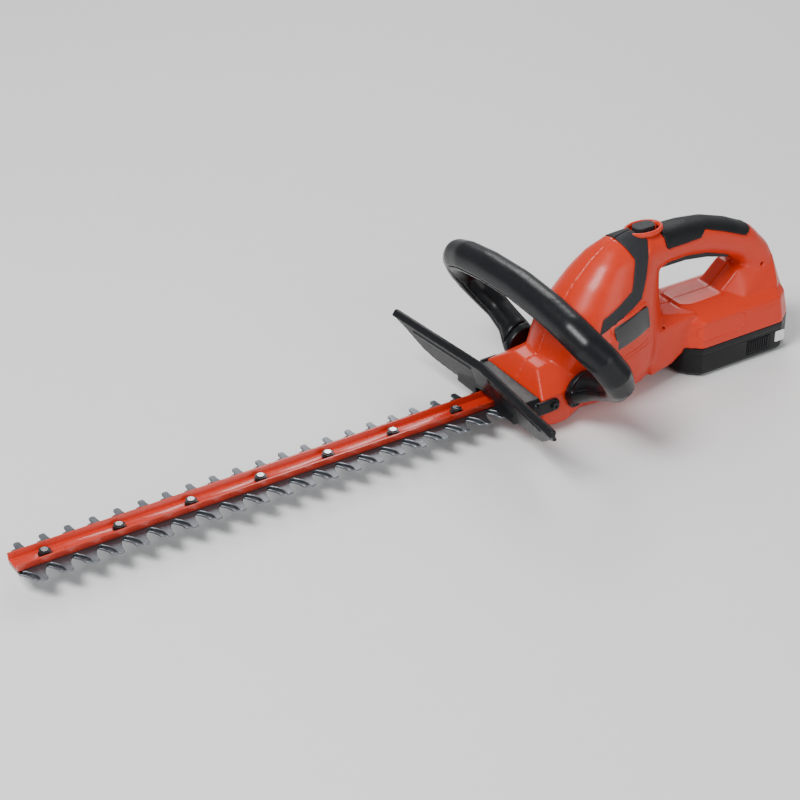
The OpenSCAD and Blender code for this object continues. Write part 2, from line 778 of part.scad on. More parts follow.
module case_plate() {
    hull() {
        for (p = post_spots) {
            translate(p) circle(r = 4.2, $fn = 32);
        }
    }
}
module gearcase_base() {
    color([0.7, 0.71, 0.72]) at_nose() {
        difference() {
            union() {
                translate([0, 0, case_z]) linear_extrude(height = case_t) square_plate();
                translate([gear_u, 0, case_z]) cylinder(r = post_r, h = cover_z + case_t - case_z + 1);
                for (p = post_spots) {
                    translate([p.x, p.y, case_z]) cylinder(r = 3.6, h = cover_z - case_z);
                }
                // pad under the rail
                translate([1, -bar_hw + 1, case_z]) cube([12.5, 2 * bar_hw - 2, rail_z - case_z]);
            }
            for (p = post_spots) {
                translate([p.x, p.y, cover_z - 9]) cylinder(r = screw_r + run_fit, h = 10);
            }
            // room for the front screw boss of the housing
            y_rod(screw_spots[0].x, screw_spots[0].y, head_r + 2.1, -60, 60);
            for (d = bar_screws) {
                translate([d, 0, case_z - 1]) cylinder(r = screw_r + 0.1, h = 12);
            }
        }
    }
}
module square_plate() {
    polygon([[2, -10], [16.5, -10], [16.5, -nose_hw + wall + 1.2], [34, -nose_hw + wall + 1.2],
        [62, -body_hw + 14.7], [92, -body_hw + 12.5], [92, body_hw - 12.5], [62, body_hw - 14.7],
        [34, nose_hw - wall - 1.2], [16.5, nose_hw - wall - 1.2], [16.5, 10], [2, 10]]);
}
module gearcase_cover() {
    color([0.7, 0.71, 0.72]) at_nose() difference() {
        translate([0, 0, cover_z]) linear_extrude(height = case_t)
            polygon([[13.5, 3 - nose_hw + wall], [92, -34.5], [92, 34.5], [13.5, nose_hw - wall - 3]]);
        translate([gear_u, 0, cover_z - 1]) cylinder(r = post_r + run_fit, h = 6);
        translate([motor_u, 0, cover_z - 1]) cylinder(r = bush_r + run_fit, h = 6);
        for (p = post_spots) {
            translate([p.x, p.y, cover_z - 1]) cylinder(r = screw_r + 0.1, h = 6);
        }
    }
}
module gearcase_screws() {
    color(steel) at_nose() {
        for (p = post_spots) {
            translate([p.x, p.y, cover_z + case_t]) screw(9, 2, 3);
        }
        for (d = bar_screws) {
            translate([d, 0, floor_z + bar_wall]) screw(floor_z + bar_wall - case_z, 2, 3);
        }
    }
}

// Involute tooth outline of a spur gear, thinned for backlash
pressure = 24;
function inv(a) = tan(a) - a * PI / 180;
function flank(rb, r) = r <= rb ? 0 : inv(acos(rb / r)) * 180 / PI;
function gear_points(n, thin) = let (
        rp = gear_m * n / 2, rb = rp * cos(pressure), ra = rp + 0.8 * gear_m, rf = rp - 1.15 * gear_m,
        half = 90 / n - thin / rp * 180 / PI, base = flank(rb, rp),
        rs = [max(rb, rf + 0.15), (max(rb, rf + 0.15) + rp) / 2, rp, (rp + ra) / 2, ra])
    [for (i = [0:n - 1]) each let (c = 360 * i / n) concat(
        [[rf, c - 180 / n * 0.8]],
        [for (r = rs) [r, c - half + flank(rb, r) - base]],
        [for (k = [4:-1:0]) [rs[k], c + half - flank(rb, rs[k]) + base]],
        [[rf, c + 180 / n * 0.8]])];
module gear_outline(n, thin = 0.07) {
    polygon([for (p = gear_points(n, thin)) p.x * [cos(p.y), sin(p.y)]]);
}
module drive_gear() {
    color([0.45, 0.46, 0.48]) at_nose() translate([gear_u, 0, gear_z]) difference() {
        union() {
            linear_extrude(height = gear_t) gear_outline(gear_n);
            translate([0, 0, gear_t - eps]) cylinder(r = post_r + 4, h = 1.2);
        }
        translate([0, 0, -1]) cylinder(r = post_r + run_fit, h = gear_t + 4);
        for (a = [45:90:315]) {
            rotate([0, 0, a]) translate([19, 0, 2]) cylinder(r = 6, h = gear_t);
        }
    }
}
module eccentrics() {
    color([0.55, 0.56, 0.58]) at_nose() translate([gear_u, 0, 0]) difference() {
        union() {
            translate([0, throw_r, upper_z + 0.05]) cylinder(r = cam_r, h = blade_t - 0.1);
            translate([0, -throw_r, lower_z + 0.05]) cylinder(r = cam_r, h = blade_t + 0.02);
            translate([0, 0, lower_z + 0.1]) cylinder(r = post_r + 1.5, h = gear_z - lower_z - 0.1);
            translate([0, 0, upper_z + blade_t - 0.06])
                cylinder(r = post_r + 4, h = gear_z - upper_z - blade_t + 0.06);
        }
        translate([0, 0, lower_z - 1]) cylinder(r = post_r + run_fit, h = 12);
    }
}
bush_r = 6;
module pinion() {
    color([0.72, 0.68, 0.5]) at_nose() translate([motor_u, 0, gear_z - 0.5]) difference() {
        linear_extrude(height = gear_t + 1) rotate(gear_n % 2 == 0 ? 180 + 180 / pinion_n : 180)
            gear_outline(pinion_n);
        translate([0, 0, -1]) cylinder(r = shaft_r, h = gear_t + 4);
    }
}
module armature_shaft() {
    color(steel) at_nose() translate([motor_u, 0, gear_z - 0.8]) cylinder(r = shaft_r, h = can_z + motor_l + 7 - gear_z);
}
module lower_bush() {
    color([0.75, 0.6, 0.3]) at_nose() translate([motor_u, 0, cover_z + 0.2]) difference() {
        cylinder(r = bush_r, h = case_t + 3);
        translate([0, 0, -1]) cylinder(r = shaft_r + run_fit, h = 9);
    }
}
module upper_bush() {
    color([0.75, 0.6, 0.3]) at_nose() translate([motor_u, 0, can_z + motor_l - 1]) difference() {
        cylinder(r = bush_r - 1, h = 5);
        translate([0, 0, -1]) cylinder(r = shaft_r + run_fit, h = 8);
    }
}
module motor_can() {
    color([0.5, 0.52, 0.55]) at_nose() translate([motor_u, 0, can_z]) difference() {
        cylinder(r = motor_r, h = motor_l);
        translate([0, 0, 1.5]) cylinder(r = motor_r - 1.5, h = motor_l);
        translate([0, 0, -1]) cylinder(r = bush_r + run_fit, h = 4);
        for (a = [0, 180]) {
            rotate([0, 0, a + 90]) translate([motor_r - 4, -4, motor_l - 12]) cube([8, 8, 7]);
        }
    }
}
module motor_magnets() {
    color([0.2, 0.2, 0.22]) at_nose() translate([motor_u, 0, can_z + 6]) for (a = [0, 180]) {
        rotate([0, 0, a - 60]) rotate_extrude(angle = 120, $fn = 64)
            translate([motor_r - 5.4, 0]) square([3.8, motor_l - 24]);
    }
}
module motor_end_cap() {
    color([0.15, 0.15, 0.16]) at_nose() translate([motor_u, 0, can_z + motor_l]) difference() {
        union() {
            cylinder(r = motor_r, h = 3);
            cylinder(r = 9, h = 5);
        }
        translate([0, 0, -1]) cylinder(r = bush_r - 1 + run_fit, h = 5);
        translate([0, 0, 2]) cylinder(r = shaft_r + 0.6, h = 5);
    }
}
module armature() {
    color([0.4, 0.33, 0.25]) at_nose() translate([motor_u, 0, can_z + 8]) difference() {
        union() {
            cylinder(r = motor_r - 6.4, h = motor_l - 28);
            translate([0, 0, -3]) cylinder(r = motor_r - 10, h = motor_l - 22);
        }
        translate([0, 0, -4]) cylinder(r = shaft_r, h = motor_l);
        for (a = [0:60:300]) {
            rotate([0, 0, a]) translate([motor_r - 9.5, -1, -5]) cube([6, 2, motor_l]);
        }
    }
}
module commutator() {
    color([0.8, 0.5, 0.3]) at_nose() translate([motor_u, 0, can_z + motor_l - 15]) difference() {
        cylinder(r = 6.5, h = 11);
        translate([0, 0, -1]) cylinder(r = shaft_r, h = 14);
    }
}
module brushes() {
    color([0.25, 0.25, 0.27]) at_nose() translate([motor_u, 0, can_z + motor_l - 11]) for (a = [90, 270]) {
        rotate([0, 0, a]) translate([6.9, -2.5, 0]) cube([motor_r - 7.2, 5, 5]);
    }
}

// ---------------------------------------------------------------- trigger, switch and lock-off

// Underside of the hand grip at a station
function grip_low(f) = [128 - grip_hh, 127.3 - grip_hh, 124 - grip_hh - 0.2, 117.5 - grip_hh][f];
trigger_stand = 3;
trigger_tilt = 6;
module trigger() {
    z0 = grip_low(0) - trigger_stand;
    color(band_grey) at_nose() difference() {
        rotate([90, 0, 0]) linear_extrude(height = 2 * trigger_hw, center = true) polygon([
            [155, z0 + 2], [159, z0], [grip_mid(0.25), grip_low(1) - trigger_stand + 0.6],
            [grip_mid(0.52), grip_low(2) - trigger_stand + 0.4], [grip_mid(0.78), grip_low(3) - trigger_stand],
            [pin_u + 3, pin_z - 4.5], [pin_u + 4, pin_z + 1], [pin_u, pin_z + 4], [pin_u - 6, pin_z + 4],
            [grip_mid(0.52), grip_low(2) + 5], [grip_mid(0.25), grip_low(1) + 4], [160, z0 + 9.5],
            [155, z0 + 8]]);
        y_rod(pin_u, pin_z, pin_r + run_fit, -20, 20);
    }
}
module trigger_pin() {
    color(steel) at_nose() y_rod(pin_u, pin_z, pin_r, -pin_half, pin_half);
}
switch_u = grip_mid(0.33);
module trigger_switch() {
    color([0.16, 0.16, 0.17]) at_nose() {
        translate([switch_u - 14, -7, 126.5]) cube([28, 14, 10.4]);
        for (d = [-9, 0, 9]) {
            translate([switch_u + d - 1.5, -0.4, 136.9 - eps]) cube([3, 0.8, 1.2]);
        }
    }
}
spring_u = grip_mid(0.05);
module trigger_spring() {
    color(steel) at_nose() translate([spring_u, 0, grip_low(1) + 6.5]) coil(3, 0.4, 15.7, 6);
}
module lock_spring() {
    color(steel) at_nose() translate([button_u, 0, dome_h - 26.4]) coil(3, 0.4, 14.2, 5);
}
module lock_off_button() {
    color(band_grey) at_nose() {
        translate([0, 0, dome_h - 9.7]) linear_extrude(height = 10.7) button_plan();
        translate([0, 0, dome_h - 12]) linear_extrude(height = 2.3 + eps) button_plan(1.2);
    }
}

// Leads: block to switch, switch to motor
module lead_wires() {
    color([0.6, 0.1, 0.1]) at_nose() for (m = [-1, 1]) {
        tube([[rear(62), m * 4, deck_z - wall + 1], [rear(54), m * 5, 70], [rear(46), m * 6, 84], [rear(52), m * 6.5, 98],
            [rear(62), m * 6, 110], [grip_mid(0.66), m * 5, 128], [switch_u + 20, m * 3.5, 133],
            [switch_u + 14.2, m * 3.5, 133]], 1, 8);
        tube([[switch_u - 14.2, m * 3.5, 133], [switch_u - 22, m * 6, 133], [161, m * 12, 128],
            [158, m * 12.5, 119], [140, m * 12, 116], [118, m * 9, 110], [100, m * 8, 106],
            [motor_u + 8, m * 12, can_z + motor_l + 6], [motor_u + 6, m * 12, can_z + motor_l + 3.2]], 1, 8);
    }
}

// ---------------------------------------------------------------- battery and terminals

lid_gap = 0.6;
lid_top = 44;
tray_top = seam_z - 7;
terminal_u = rear(66);
module terminal_block() {
    color([0.18, 0.18, 0.19]) at_nose() translate([terminal_u - 12, -15, lid_top + 2])
        cube([24, 30, deck_z - wall - lid_top - 2.2]);
}
module terminal_blades() {
    color([0.8, 0.6, 0.35]) at_nose() for (y = [-9, 9]) {
        translate([terminal_u - 6, y - 0.4, lid_top - 7]) cube([12, 0.8, 9]);
    }
}
module battery_tray() {
    color(soft_black) at_nose() difference() {
        hull_points(concat([for (p = base_plan(4)) [p.x, p.y, 0]], [for (p = base_plan(0.2)) [p.x, p.y, 4.5]],
            [for (p = base_plan(0.2)) [p.x, p.y, tray_top]]));
        hull_points(concat([for (p = base_plan(4)) [p.x, p.y, 2.5]],
            [for (p = base_plan(3)) [p.x, p.y, 6]], [for (p = base_plan(3)) [p.x, p.y, tray_top + 1]]));
        for (m = [-1, 1]) {
            translate([latch_u, m * pack_hw, latch_z]) cube([latch_l + 1, 14, latch_w + 1], center = true);
        }
    }
}
// Block that leans in with the base, drawn in by t
module lid_block(t, low, top) {
    hull_points(concat(
        [for (p = base_plan(t)) [p.x, p.y, low]],
        [for (p = base_plan(t + 0.4)) [p.x, p.y, seam_z]],
        [for (p = base_plan(t + 5)) [p.x, p.y, top]]));
}
module battery_lid() {
    color(soft_black) at_nose() difference() {
        union() {
            translate([0, 0, tray_top]) linear_extrude(height = seam_z - slide_gap - tray_top)
                polygon(base_plan(0.2));
            lid_block(wall + lid_gap, tray_top, lid_top);
        }
        lid_block(wall + lid_gap + 1.8, tray_top - 1, lid_top - 1.8);
        for (y = [-9, 9]) {
            translate([terminal_u - 7, y - 1.4, lid_top - 10]) cube([14, 2.8, 20]);
        }
    }
}
cell_pitch = 2 * cell_r + 0.3;
cell_first = rear(pack_l) + 23.5;
function cell_spots() = [for (i = [0:4], j = [-1:1]) [cell_first + i * cell_pitch, j * cell_pitch]];
module battery_cells() {
    color([0.3, 0.45, 0.3]) at_nose() for (p = cell_spots()) {
        translate([p.x, p.y, 3.2]) cylinder(r = cell_r, h = cell_h - 1);
        translate([p.x, p.y, 3.2 + cell_h - 1 - eps]) cylinder(r = 4, h = 0.6);
    }
}
module cell_straps() {
    color(steel) at_nose() for (i = [0:4]) {
        translate([cell_first + i * cell_pitch - 3, -cell_pitch - 4, 3.2 + cell_h - 0.4]) cube([6, 2 * cell_pitch + 8, 0.4]);
    }
}
module battery_contacts() {
    color([0.8, 0.6, 0.35]) at_nose() for (y = [-9, 9], s = [-1, 1]) {
        translate([terminal_u - 5, y + s * 0.95 - 0.2, lid_top - 7.5]) cube([10, 0.4, 5.5]);
    }
}
label_u = rear(24.5);
module battery_label() {
    color([0.93, 0.93, 0.92]) at_nose() translate([label_u, -pack_hw + 0.2, 16]) rotate([90, 0, 0])
        linear_extrude(height = 0.3) hull() {
            for (d = [-4, 4], e = [-4, 4]) {
                translate([d, e]) circle(r = 1.5, $fn = 24);
            }
        }
}
latch_u = rear(50);
latch_z = 14;
latch_l = 26;
latch_w = 13;
latch_travel = 3;
module latch(side) {
    color([0.09, 0.09, 0.1]) at_nose() translate([latch_u, side * (pack_hw - 0.2), latch_z]) mirror([0, side > 0 ? 0 : 1, 0]) {
        translate([-latch_l / 2, -2.4, -latch_w / 2]) cube([latch_l, 2.4, latch_w]);
        for (i = [-4:4]) {
            translate([i * 2.7 - 0.6, -eps, -latch_w / 2 + 1]) cube([1.2, 0.7, latch_w - 2]);
        }
    }
}
module latch_left() {
    latch(-1);
}
module latch_right() {
    latch(1);
}

// ---------------------------------------------------------------- what is drawn

housing_left();
housing_right();
side_band_left();
side_band_right();
grip_cover();
badge_left();
badge_right();
housing_screws();
guard();
guard_screws();
bail_shell();
bail_cover();
bail_screws();
blade_bar();
blade_rail();
guide_bolts();
guide_nuts();
gearcase_base();
gearcase_cover();
gearcase_screws();
motor_can();
motor_magnets();
motor_end_cap();
lower_bush();
upper_bush();
brushes();
trigger_pin();
trigger_switch();
trigger_spring();
lock_spring();
lead_wires();
terminal_block();
terminal_blades();
drive_gear();
eccentrics();
pinion();
armature_shaft();
armature();
commutator();
upper_blade();
lower_blade();
trigger();
lock_off_button();
battery_tray();
battery_lid();
battery_cells();
cell_straps();
battery_contacts();
battery_label();
latch_left();
latch_right();
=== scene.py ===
"""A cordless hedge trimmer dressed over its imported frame: moulded shells, blades, bar and studio."""

import json
import logging
import math
from dataclasses import dataclass, field
from enum import Enum

import bpy
import numpy as np
from mathutils import Matrix, Vector


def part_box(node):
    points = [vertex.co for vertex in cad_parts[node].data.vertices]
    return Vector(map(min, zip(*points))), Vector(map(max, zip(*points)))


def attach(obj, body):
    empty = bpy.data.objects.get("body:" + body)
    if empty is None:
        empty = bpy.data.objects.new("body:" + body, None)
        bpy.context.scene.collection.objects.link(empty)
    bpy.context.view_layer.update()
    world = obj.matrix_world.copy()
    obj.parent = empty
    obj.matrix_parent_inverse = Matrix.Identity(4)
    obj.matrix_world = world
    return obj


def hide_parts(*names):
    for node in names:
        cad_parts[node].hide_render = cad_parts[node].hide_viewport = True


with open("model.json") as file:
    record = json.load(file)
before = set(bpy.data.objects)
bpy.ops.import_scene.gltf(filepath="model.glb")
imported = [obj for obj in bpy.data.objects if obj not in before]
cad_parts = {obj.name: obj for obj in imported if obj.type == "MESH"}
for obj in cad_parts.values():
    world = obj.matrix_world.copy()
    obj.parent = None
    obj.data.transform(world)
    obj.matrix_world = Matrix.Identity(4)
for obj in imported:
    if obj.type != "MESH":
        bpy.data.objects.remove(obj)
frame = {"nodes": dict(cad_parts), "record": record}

logging.basicConfig(level=logging.INFO, format="%(message)s")
log = logging.getLogger("trimmer")

MM = 0.001

BROAD_SCALE = 35.0      # cycles in a metre of the slow colour drift
MIDDLE_SCALE = 260.0    # cycles in a metre of the roughness and rubbed patches
COAT_ROUGHNESS = 0.12
WELD = 0.004 * MM       # points of a copied node closer than this are one point
EASE_STEPS = 10         # levels that a smoothing weight is rounded to
SEAM_HELD = 0.7 * MM    # points this near the joint face keep their place across it
SEAM_CLEAR = 0.6 * MM   # from here on, smoothing fades in over SEAM_FADE
SEAM_FADE = 1.0 * MM
SCREW_BACK = 20 * MM    # from the nose's front to the middle of the guard screws
FLOOR_GAP = 0.2 * MM


class Grain(Enum):
    """How a surface is broken up at the scale of a fingertip."""

    MOULDED = "moulded"
    RUBBER = "rubber"
    PAINT = "paint"
    BRUSHED = "brushed"
    CAST = "cast"
    WOUND = "wound"
    PAPER = "paper"


@dataclass(frozen=True)
class Finish:
    """One finish of the trimmer, turned into a procedural material on request."""

    name: str
    colour: tuple[float, float, float]
    grain: Grain
    roughness: float = 0.4
    metallic: float = 0.0
    coat: float = 0.0
    gloss: float = 0.5
    bump: float = 0.12
    size: float = 1.0
    drift: float = 0.10
    # Sharp edges are lightened in patches towards the colour below: a painted edge highlight, partly wear.
    edge_highlight_and_wear: float = 0.0
    edge_highlight_and_wear_colour: tuple[float, float, float] = (0.6, 0.6, 0.6)

    def material(self) -> bpy.types.Material:
        """Gives this finish's material, and makes it the first time.

        Returns:
            The material with its node tree.
        """
        made = bpy.data.materials.get(self.name)
        return made if made else self._make()

    def _make(self) -> bpy.types.Material:
        """Builds the node tree: base colour, roughness and relief, each with its own detail.

        Returns:
            The new material.
        """
        material = bpy.data.materials.new(self.name)
        material.use_nodes = True
        tree = material.node_tree
        shader = tree.nodes["Principled BSDF"]
        shader.inputs["Metallic"].default_value = self.metallic
        shader.inputs["Coat Weight"].default_value = self.coat
        shader.inputs["Specular IOR Level"].default_value = self.gloss
        shader.inputs["Coat Roughness"].default_value = COAT_ROUGHNESS
        place = tree.nodes.new("ShaderNodeTexCoord")
        mapping = tree.nodes.new("ShaderNodeMapping")
        mapping.inputs["Scale"].default_value = self._stretch()
        tree.links.new(place.outputs["Object"], mapping.inputs["Vector"])
        broad = self._noise(tree, mapping, BROAD_SCALE, 4.0)
        middle = self._noise(tree, mapping, MIDDLE_SCALE, 5.0)
        fine = self._noise(tree, mapping, self._pitch(), 3.0)
        self._colour(tree, shader, broad, middle)
        self._roughness(tree, shader, middle)
        self._relief(tree, shader, fine, middle)
        return material

    def _stretch(self) -> tuple[float, float, float]:
        """Brushed metal has its pattern drawn out along the bar."""
        return (0.08, 1.0, 1.0) if self.grain is Grain.BRUSHED else (1.0, 1.0, 1.0)

    def _pitch(self) -> float:
        """Scale of the finest relief for this grain."""
        pitches = {Grain.MOULDED: 1500.0, Grain.RUBBER: 1900.0, Grain.PAINT: 420.0, Grain.BRUSHED: 2600.0,
                   Grain.CAST: 900.0, Grain.WOUND: 1200.0, Grain.PAPER: 2400.0}
        return pitches[self.grain] / self.size

    @staticmethod
    def _noise(tree: bpy.types.NodeTree, mapping: bpy.types.Node, scale: float,
               detail: float) -> bpy.types.NodeSocket:
        """Adds a noise pattern.

        Args:
            tree: the material's node tree.
            mapping: the node that gives the place on the piece.
            scale: cycles in a metre.
            detail: octaves.

        Returns:
            The pattern's value.
        """
        noise = tree.nodes.new("ShaderNodeTexNoise")
        noise.inputs["Scale"].default_value = scale
        noise.inputs["Detail"].default_value = detail
        noise.inputs["Roughness"].default_value = 0.55
        tree.links.new(mapping.outputs["Vector"], noise.inputs["Vector"])
        return noise.outputs["Fac"]

    def _colour(self, tree: bpy.types.NodeTree, shader: bpy.types.Node, broad: bpy.types.NodeSocket,
                middle: bpy.types.NodeSocket) -> None:
        """Varies the base colour a little, and lightens sharp edges in patches towards a second colour: a
        painted edge highlight, partly wear.

        Args:
            tree: the material's node tree.
            shader: the surface shader.
            broad: slow pattern.
            middle: faster pattern.
        """
        ramp = tree.nodes.new("ShaderNodeValToRGB")
        low = [c * (1 - self.drift) for c in self.colour]
        high = [min(c * (1 + self.drift), 1.0) for c in self.colour]
        ramp.color_ramp.elements[0].position = 0.32
        ramp.color_ramp.elements[0].color = (*low, 1.0)
        ramp.color_ramp.elements[1].position = 0.68
        ramp.color_ramp.elements[1].color = (*high, 1.0)
        blend = tree.nodes.new("ShaderNodeMath")
        blend.operation = "MULTIPLY_ADD"
        blend.inputs[1].default_value = 0.5
        tree.links.new(broad, blend.inputs[0])
        half = tree.nodes.new("ShaderNodeMath")
        half.operation = "MULTIPLY"
        half.inputs[1].default_value = 0.5
        tree.links.new(middle, half.inputs[0])
        tree.links.new(half.outputs[0], blend.inputs[2])
        tree.links.new(blend.outputs[0], ramp.inputs["Fac"])
        if self.edge_highlight_and_wear <= 0:
            tree.links.new(ramp.outputs["Color"], shader.inputs["Base Color"])
            return
        # Painted edge highlight, partly wear: sharp edges (high pointiness) are lightened in patches towards
        # the edge colour.
        edge = tree.nodes.new("ShaderNodeNewGeometry")
        edge_highlight_mask = tree.nodes.new("ShaderNodeMapRange")
        edge_highlight_mask.inputs["From Min"].default_value = 0.53
        edge_highlight_mask.inputs["From Max"].default_value = 0.62
        edge_highlight_mask.inputs["To Max"].default_value = self.edge_highlight_and_wear
        tree.links.new(edge.outputs["Pointiness"], edge_highlight_mask.inputs["Value"])
        patch = tree.nodes.new("ShaderNodeMath")
        patch.operation = "MULTIPLY"
        tree.links.new(edge_highlight_mask.outputs["Result"], patch.inputs[0])
        tree.links.new(middle, patch.inputs[1])
        mix = tree.nodes.new("ShaderNodeMix")
        mix.data_type = "RGBA"
        colour_b = [s for s in mix.inputs if s.name == "B" and s.type == "RGBA"][0]
        colour_a = [s for s in mix.inputs if s.name == "A" and s.type == "RGBA"][0]
        result = [s for s in mix.outputs if s.type == "RGBA"][0]
        colour_b.default_value = (*self.edge_highlight_and_wear_colour, 1.0)
        tree.links.new(patch.outputs[0], mix.inputs["Factor"])
        tree.links.new(ramp.outputs["Color"], colour_a)
        tree.links.new(result, shader.inputs["Base Color"])

    def _roughness(self, tree: bpy.types.NodeTree, shader: bpy.types.Node,
                   middle: bpy.types.NodeSocket) -> None:
        """Varies the roughness about its middle value.

        Args:
            tree: the material's node tree.
            shader: the surface shader.
            middle: pattern to follow.
        """
        spread = tree.nodes.new("ShaderNodeMapRange")
        spread.inputs["From Min"].default_value = 0.3
        spread.inputs["From Max"].default_value = 0.7
        spread.inputs["To Min"].default_value = max(self.roughness * 0.86, 0.04)
        spread.inputs["To Max"].default_value = min(self.roughness * 1.16, 1.0)
        tree.links.new(middle, spread.inputs["Value"])
        tree.links.new(spread.outputs["Result"], shader.inputs["Roughness"])

    def _relief(self, tree: bpy.types.NodeTree, shader: bpy.types.Node, fine: bpy.types.NodeSocket,
                middle: bpy.types.NodeSocket) -> None:
        """Raises the fine grain over a slower unevenness.

        Args:
            tree: the material's node tree.
            shader: the surface shader.
            fine: the finest pattern.
            middle: slower pattern.
        """
        slow = tree.nodes.new("ShaderNodeBump")
        slow.inputs["Strength"].default_value = self.bump * 0.25
        slow.inputs["Distance"].default_value = 0.0006
        tree.links.new(middle, slow.inputs["Height"])
        grain = tree.nodes.new("ShaderNodeBump")
        grain.inputs["Strength"].default_value = self.bump
        grain.inputs["Distance"].default_value = 0.0003
        tree.links.new(fine, grain.inputs["Height"])
        tree.links.new(slow.outputs["Normal"], grain.inputs["Normal"])
        tree.links.new(grain.outputs["Normal"], shader.inputs["Normal"])


ORANGE = Finish("orange_shell_finish", (0.60, 0.028, 0.004), Grain.MOULDED, roughness=0.34, coat=0.06,
                gloss=0.36, bump=0.015, drift=0.03)
BAND = Finish("band_grey_finish", (0.020, 0.021, 0.024), Grain.RUBBER, roughness=0.55, gloss=0.3, bump=0.2)
SOFT = Finish("soft_black_finish", (0.005, 0.0055, 0.0065), Grain.RUBBER, roughness=0.48, gloss=0.28,
              bump=0.22, drift=0.2)
BADGE = Finish("badge_finish", (0.006, 0.006, 0.007), Grain.MOULDED, roughness=0.16, coat=0.5, bump=0.02)
BRIGHT = Finish("bright_steel_finish", (0.55, 0.56, 0.58), Grain.BRUSHED, roughness=0.28, metallic=1.0,
                bump=0.15)
DARK_SCREW = Finish("dark_screw_finish", (0.035, 0.036, 0.038), Grain.CAST, roughness=0.35, metallic=0.8,
                    bump=0.1)
BLACK = Finish("black_plastic_finish", (0.005, 0.0055, 0.007), Grain.MOULDED, roughness=0.36, gloss=0.28,
               bump=0.18, drift=0.2)
HANDLE = Finish("handle_finish", (0.0045, 0.005, 0.0065), Grain.MOULDED, roughness=0.33, gloss=0.32,
                bump=0.08, drift=0.2)
# The pink edge colour here is a painted highlight along the bar's sharp edges.
BAR_RED = Finish("bar_paint_finish", (0.52, 0.022, 0.006), Grain.PAINT, roughness=0.30, coat=0.35, bump=0.08,
                 drift=0.06, edge_highlight_and_wear=0.5, edge_highlight_and_wear_colour=(0.55, 0.14, 0.09))
PLAIN = Finish("plain_steel_finish", (0.42, 0.43, 0.45), Grain.BRUSHED, roughness=0.36, metallic=1.0,
               bump=0.2)
CAST = Finish("cast_alloy_finish", (0.52, 0.53, 0.54), Grain.CAST, roughness=0.45, metallic=1.0, bump=0.4)
MAGNET = Finish("magnet_finish", (0.06, 0.06, 0.07), Grain.CAST, roughness=0.5, metallic=0.6, bump=0.3)
BRONZE = Finish("bronze_finish", (0.56, 0.33, 0.12), Grain.BRUSHED, roughness=0.34, metallic=1.0, bump=0.15)
WIRE = Finish("wire_finish", (0.42, 0.012, 0.010), Grain.MOULDED, roughness=0.36, bump=0.1)
GEAR = Finish("gear_steel_finish", (0.30, 0.31, 0.33), Grain.BRUSHED, roughness=0.34, metallic=1.0, bump=0.2)
WOUND = Finish("armature_finish", (0.40, 0.17, 0.07), Grain.WOUND, roughness=0.4, metallic=0.7, bump=0.6,
               drift=0.3)
# The light edge colour here is a painted highlight along the teeth's sharp edges, partly bright ground steel.
BLADE = Finish("blade_steel_finish", (0.115, 0.125, 0.14), Grain.BRUSHED, roughness=0.40, metallic=0.9,
               bump=0.25, drift=0.18, edge_highlight_and_wear=0.7, edge_highlight_and_wear_colour=(0.45, 0.47, 0.5))
CELL = Finish("cell_wrap_finish", (0.02, 0.16, 0.30), Grain.MOULDED, roughness=0.32, bump=0.05)
LABEL = Finish("label_finish", (0.78, 0.78, 0.77), Grain.PAPER, roughness=0.5, bump=0.08, drift=0.03)

FINISHES: dict[str, Finish] = {
    "orange_shell": ORANGE, "band_grey": BAND, "soft_black": SOFT, "badge_black": BADGE,
    "screw_steel": BRIGHT,
    "screw_black": DARK_SCREW, "black_plastic": BLACK, "handle_black": HANDLE, "bar_red": BAR_RED,
    "plain_steel": PLAIN, "cast_alloy": CAST, "magnet": MAGNET, "bronze": BRONZE, "wire_red": WIRE,
    "gear_steel": GEAR, "armature": WOUND, "blade_steel": BLADE, "cell_wrap": CELL, "label_white": LABEL}


def clear_selection() -> None:
    """Leaves object mode with nothing selected."""
    if bpy.context.object is not None and bpy.context.object.mode != "OBJECT":
        bpy.ops.object.mode_set(mode="OBJECT")
    bpy.ops.object.select_all(action="DESELECT")


def pick(piece: bpy.types.Object) -> bpy.types.Object:
    """Selects one piece alone and makes it active.

    Args:
        piece: the object.

    Returns:
        The same object.
    """
    clear_selection()
    piece.select_set(True)
    bpy.context.view_layer.objects.active = piece
    return piece


def apply_modifier(piece: bpy.types.Object, kind: str, **settings: object) -> None:
    """Adds a modifier with its settings and applies it.

    Args:
        piece: the object.
        kind: the modifier's type.
        settings: its properties by name.
    """
    pick(piece)
    modifier = piece.modifiers.new(kind.lower(), kind)
    for name, value in settings.items():
        setattr(modifier, name, value)
    bpy.ops.object.modifier_apply(modifier=modifier.name)


def bake_place(piece: bpy.types.Object) -> None:
    """Moves a piece's place, turn and scale into its mesh."""
    pick(piece)
    bpy.ops.object.transform_apply(location=True, rotation=True, scale=True)


def dress(piece: bpy.types.Object, finish: Finish) -> None:
    """Gives a piece one finish all over."""
    piece.data.materials.clear()
    piece.data.materials.append(finish.material())


def copy_of_node(node: str, name: str) -> bpy.types.Object:
    """Copies a frame node's mesh to a new piece with its doubles merged.

    Args:
        node: the frame node.
        name: the new piece's name.

    Returns:
        The new piece, at the origin.
    """
    piece = bpy.data.objects.new(name, frame["nodes"][node].data.copy())
    bpy.context.scene.collection.objects.link(piece)
    pick(piece)
    bpy.ops.object.mode_set(mode="EDIT")
    bpy.ops.mesh.select_all(action="SELECT")
    bpy.ops.mesh.remove_doubles(threshold=WELD)
    bpy.ops.mesh.customdata_custom_splitnormals_clear()
    bpy.ops.mesh.normals_make_consistent(inside=False)
    bpy.ops.object.mode_set(mode="OBJECT")
    return piece


def points_of(piece: bpy.types.Object) -> np.ndarray:
    """The piece's vertices as rows of x, y, z."""
    flat = np.zeros(len(piece.data.vertices) * 3)
    piece.data.vertices.foreach_get("co", flat)
    return flat.reshape(-1, 3)


